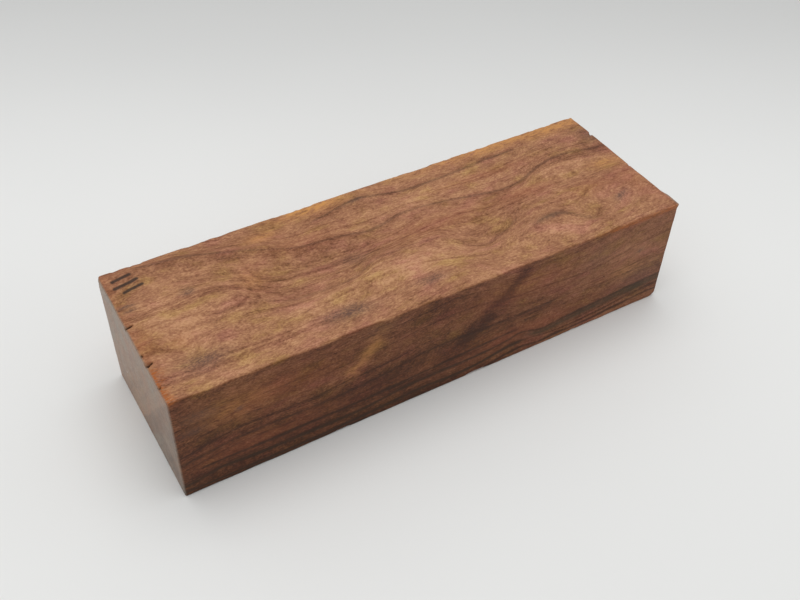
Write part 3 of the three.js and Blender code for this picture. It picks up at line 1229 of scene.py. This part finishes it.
        streaky = bench.weighed((grain["fibre"], 0.6), (grain["mottle"], 0.4))
        fibrous = bench.weighed((dark, 1.0), (bench.less(grain["fibre"], 0.5), self.line_fibres))
        line = bench.weighed((1.0, self.line_share[0]), (heart, self.line_share[1]))
        thin = bench.times(grain["growth"], heart)
        shares = (
            (bench.times(gold, bench.between(streaky, 0.38, 0.56, 0.1, 1.0)), self.gold),
            (bench.times(red, self.red_share), self.red),
            (bench.times(stain, bench.between(grain["grit"], 0.35, 0.65, 1.0, 0.5)), self.stain),
            (bench.times(thin, self.thin_line_share), self.dark_line_and_split_shade),
            (bench.times(bench.between(fibrous, 0.3, 1.1), line), self.dark_line_and_split_shade),
            (bench.times(green, self.green_share), self.green_black),
            (bench.times(grain["pores"], self.pore_share), self.dark_line_and_split_shade),
            (bench.times(oil, bench.between(grain["fibre"], 0.4, 0.56, 0.0, 0.9)),
             self.oil_soaked),
            (bench.between(torn, 0.0, 1.0, 0.0, 0.55), self.torn),
            # painted shade inside the narrow splits, where the torn mask passes 1
            (bench.between(torn, 1.0, 1.8, 0.0, 0.9), self.dark_line_and_split_shade),
        )
        for share, paint in shares:
            colour = bench.mix(bench.math("MAXIMUM", share, 0.0), colour, paint)
        return colour

    def waxed(self, bench: Bench, colour: Socket, fibre: Socket, y: Socket, z: Socket) -> Socket:
        """Lays a milky veil over the ends: partly the wax, and partly painted sheen, a pale grey
        that stands in for the end's glancing reflection.

        It is thinner where the fibres stand up and towards the low front, streaked by the saw's
        upright scratches, cloudy, warmer and cooler in patches, soiled in small grains, and
        holds a few pale specks.

        Args:
            bench: the material's nodes.
            colour: the wood under the wax.
            fibre: the fibres.
            y, z: the place on the end, in millimetres.

        Returns:
            The colour with its wax.
        """
        wax, place = bench.attribute("wax"), (y, z, z)
        scratch, cloud, grainy, cool = (
            bench.noise(place, weave) for weave in (WAX_SCRATCH, WAX_CLOUD, WAX_GRAIN, WAX_COOL))
        # How deep the veil lies, wax and painted sheen together, thinner towards the low front
        wax_and_sheen_depth = bench.weighed((scratch, 0.5), (cloud, 2.2), (grainy, 0.8), (y, 0.005),
                              (z, 0.008), (fibre, -0.4))
        milk_and_sheen = bench.mix(bench.between(cool, 0.36, 0.64), *self.wax)
        specks = bench.cells(place, WAX_SPECKS)
        layers = (
            (bench.between(wax_and_sheen_depth, 1.2, 2.15, 0.3, 0.95), milk_and_sheen),
            (bench.between(grainy, 0.28, 0.56, 0.45, 0.0), self.grime),
            (bench.between(specks, 0.03, 0.06, 0.8, 0.0), self.speck),
        )
        for share, paint in layers:
            colour = bench.mix(bench.times(share, wax), colour, paint)
        return colour


def put(name: str, data: bpy.types.ID) -> bpy.types.Object:
    """Makes an object of its data and adds it to the scene."""
    made = bpy.data.objects.new(name, data)
    bpy.context.scene.collection.objects.link(made)
    return made


@dataclass(frozen=True)
class SoakedOil:
    """Oil soaked in along the grain, on top near the ends and under the top front edge.

    `left` and `right` are its strength at the ends, and `front` what the left end's front adds.
    From the left it reaches `reach` and up to `ragged` times the noise more. `fades` is how far
    it fades from the right end and below the top. The line under the edge has its own strength,
    depth and half width. Millimetres.
    """

    left: float = 0.2
    front: float = 1.3
    right: float = 0.2
    front_zone: Pair = (-12.0, -9.0)
    reach: Pair = (0.2, 1.4)
    ragged: Pair = (1.36, 3.06)
    fades: Pair = (0.8, 0.6)
    line: Triple = (0.9, 0.6, 0.5)
    line_zone: Pair = (34.0, 48.0)

    def reads(self, form: SawnForm, points: Array) -> Array:
        """How much oil there is at each place, from 0 to about 1.5."""
        left, right, below, behind = (
            form.depth(points, side) for side in (Side.LEFT, Side.RIGHT, Side.TOP, Side.FRONT))
        ragged = np.maximum(self.ragged[0] + self.ragged[1] * OIL_REACH.reads(points), 0.0)
        soaked = self.left + self.front * (1.0 - smooth(*self.front_zone, points[:, 1]))
        soaked = soaked * (1.0 - smooth(self.reach[0], self.reach[1] + ragged, left))
        soaked = np.maximum(soaked, self.right * np.exp(-right / self.fades[0]))
        strength, depth, half = self.line
        line = np.exp(-(((below - depth) / half) ** 2)) * (behind < depth)
        line = strength * line * smooth(*self.line_zone, points[:, 0])
        return np.maximum(soaked * np.exp(-below / self.fades[1]), line)


@dataclass(frozen=True)
class IronwoodBlock:
    """The block itself: its surface, the figure it carries and its finish."""

    form: SawnForm
    finish: IronwoodFinish = IronwoodFinish()
    oil: SoakedOil = SoakedOil()
    tone_drift: float = 0.6
    shade_tone: float = 1.05
    shade_tone_low: float = 0.4
    wax_reach: Pair = (0.1, 0.4)

    def mesh(self) -> bpy.types.Mesh:
        """Makes the surface, wears and chips it, and writes the figure onto its points.

        The figure is read where the worn surface lies, so a chip shows the wood under it.

        Returns:
            The finished mesh, in metres.
        """
        sawn, cells = Lattice(self.form).surface()
        chips = Chips(self.form)
        torn = np.zeros(len(sawn))
        points = chips.worn(chips.eased(sawn))
        points = chips.tears(chips.broken(points, torn), torn)
        points = chips.lip(points)
        points[:, 2] = np.maximum(points[:, 2], 0.0)

        mesh = bpy.data.meshes.new("ironwood")
        mesh.from_pydata(points * MM, [], cells)
        mesh.polygons.foreach_set("use_smooth", np.ones(len(cells), bool))
        for name, values in self.figure(points, torn).items():
            layer = mesh.attributes.new(name, "FLOAT", "POINT")
            layer.data.foreach_set("value", values.astype(np.float32))
        mesh.update()
        return mesh

    def figure(self, points: Array, torn: Array) -> dict[str, Array]:
        """Everything that the finish reads from the mesh, by name."""
        wood = Heartwood(self.form)
        dark, green, shade = wood.lines(points)
        deep, heart, heart_tone = wood.heart(points)
        drift = self.tone_drift * TONE_DRIFT.reads(points)
        shaded = (self.shade_tone * (1.0 - heart) + self.shade_tone_low * heart) * shade
        tone = wood.patches(points, TONES + SWIRLS) + heart_tone + drift - shaded
        paints = {name: np.clip(wood.patches(points, patches), 0.0, 1.0)
                  for name, patches in (("gold", GOLD), ("red", REDS), ("stain", STAINS))}
        ends = (self.form.depth(points, side) for side in (Side.LEFT, Side.RIGHT))
        wax = 1.0 - smooth(*self.wax_reach, np.minimum(*ends))
        return {"rings": wood.rings(points), "tone": tone, "lean": wood.patches(points, LEANS),
                "deep": deep, "heart": heart, **paints, "dark": dark, "green": green,
                "oil": self.oil.reads(self.form, points), "torn": torn, "wax": wax}

    def build(self) -> bpy.types.Object:
        """Makes the piece, gives it its finish and hands it to the frame."""
        piece = put("ironwood_body", self.mesh())
        top = self.form.top_over(*self.finish.mark.middle)
        log.info("top face %.2f mm high at the tally", top)
        piece.data.materials.append(self.finish.material(top))
        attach(piece, "root")
        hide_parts(NODE)
        return piece


@dataclass(frozen=True)
class Studio:
    """A plain pale table, a large soft light over it and a pale room. Metres.

    The table is palest up to `fades[0]` in the direction of `behind`, and from `fades[1]` on it
    is darkest, by `painted_far_shade`: painted shade for the light falling off towards the back.
    """

    table_size: float = 6.0
    table_colour: Colour = srgb(233, 233, 231)
    painted_far_shade: float = 0.72
    behind: Pair = (0.5, 0.86)
    fades: Pair = (0.02, 0.2)
    mottle: float = 0.1
    roughness: float = 0.8
    light_place: Triple = (0.015, 0.03, 0.6)
    light_size: float = 0.5
    light_power: float = 1.34
    room_colour: Colour = srgb(242, 243, 244)
    room_strength: float = 0.8

    def build(self) -> None:
        """Makes the table, the light and the room."""
        half = self.table_size / 2
        mesh = bpy.data.meshes.new("table_top")
        corners = [(-half, -half, 0), (half, -half, 0), (half, half, 0), (-half, half, 0)]
        mesh.from_pydata(corners, [], [(0, 1, 2, 3)])
        mesh.materials.append(self.table_material())
        table = put("table_top", mesh)

        light = bpy.data.lights.new("softbox", "AREA")
        light.shape = "SQUARE"
        light.size = self.light_size
        light.energy = self.light_power
        softbox = put("softbox", light)
        softbox.location = self.light_place
        softbox.rotation_euler = Vector(self.light_place).to_track_quat("Z", "Y").to_euler()

        world = bpy.data.worlds.new("pale_room")
        world.use_nodes = True
        background = world.node_tree.nodes["Background"]
        background.inputs["Color"].default_value = (*self.room_colour, 1.0)
        background.inputs["Strength"].default_value = self.room_strength
        bpy.context.scene.world = world

    def table_material(self) -> bpy.types.Material:
        """Matt pale paper with a hardly visible mottle, and painted shade towards the back."""
        bench = Bench("pale_paper")
        x, y, z = bench.place()
        mottle = bench.between(bench.noise((x, y, z), PAPER), 0.3, 0.7)
        # painted shade: the paper darkens towards the back, where the light falls off
        behind = bench.weighed(*zip((x, y), self.behind))
        shade = bench.weighed((bench.between(behind, *self.fades), 1.0), (mottle, self.mottle))
        far = tuple(self.painted_far_shade * part for part in self.table_colour)
        bench.look(Base_Color=bench.mix(shade, self.table_colour, far), Roughness=self.roughness)
        return bench.material


@dataclass(frozen=True)
class Camera:
    """The camera at the photo's angle. Degrees and metres, with lens and film in millimetres.

    It stands `back` from the origin along its own axis, `sideways` and `up` from that line.
    """

    azimuth: float = -31.68
    elevation: float = 43.58
    roll: float = 1.58
    back: float = 0.2456
    sideways: float = -0.0002
    up: float = 0.0079
    lens: float = 45.13
    film: float = 36.0
    nearest: float = 0.01

    def build(self) -> None:
        """Makes the camera and hands it to the scene."""
        azimuth, elevation, roll = map(math.radians, (self.azimuth, self.elevation, self.roll))
        towards = Vector((math.sin(azimuth) * math.cos(elevation),
                          -math.cos(azimuth) * math.cos(elevation), math.sin(elevation)))
        level = Vector((math.cos(azimuth), math.sin(azimuth), 0.0))
        upright = towards.cross(level)
        right = math.cos(roll) * level + math.sin(roll) * upright
        up = math.cos(roll) * upright - math.sin(roll) * level
        data = bpy.data.cameras.new("camera")
        data.lens = self.lens
        data.sensor_width = self.film
        data.clip_start = self.nearest
        camera = put("camera", data)
        turn = Matrix((right, up, towards)).transposed().to_4x4()
        place = self.sideways * right + self.up * up + self.back * towards
        camera.matrix_world = Matrix.Translation(place) @ turn
        bpy.context.scene.camera = camera


def main() -> None:
    """Builds the camera, the block and the studio, and reports what was made."""
    logging.basicConfig(level=logging.INFO, format="%(name)s: %(message)s")
    bpy.context.scene.view_settings.view_transform = "Standard"
    Camera().build()
    block = IronwoodBlock(SawnForm.from_node(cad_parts[NODE])).build()
    log.info("%s: %d points, %d cells", block.name, len(block.data.vertices),
             len(block.data.polygons))
    Studio().build()
    log.info("studio: table, softbox and room")


if __name__ == "__main__":
    main()
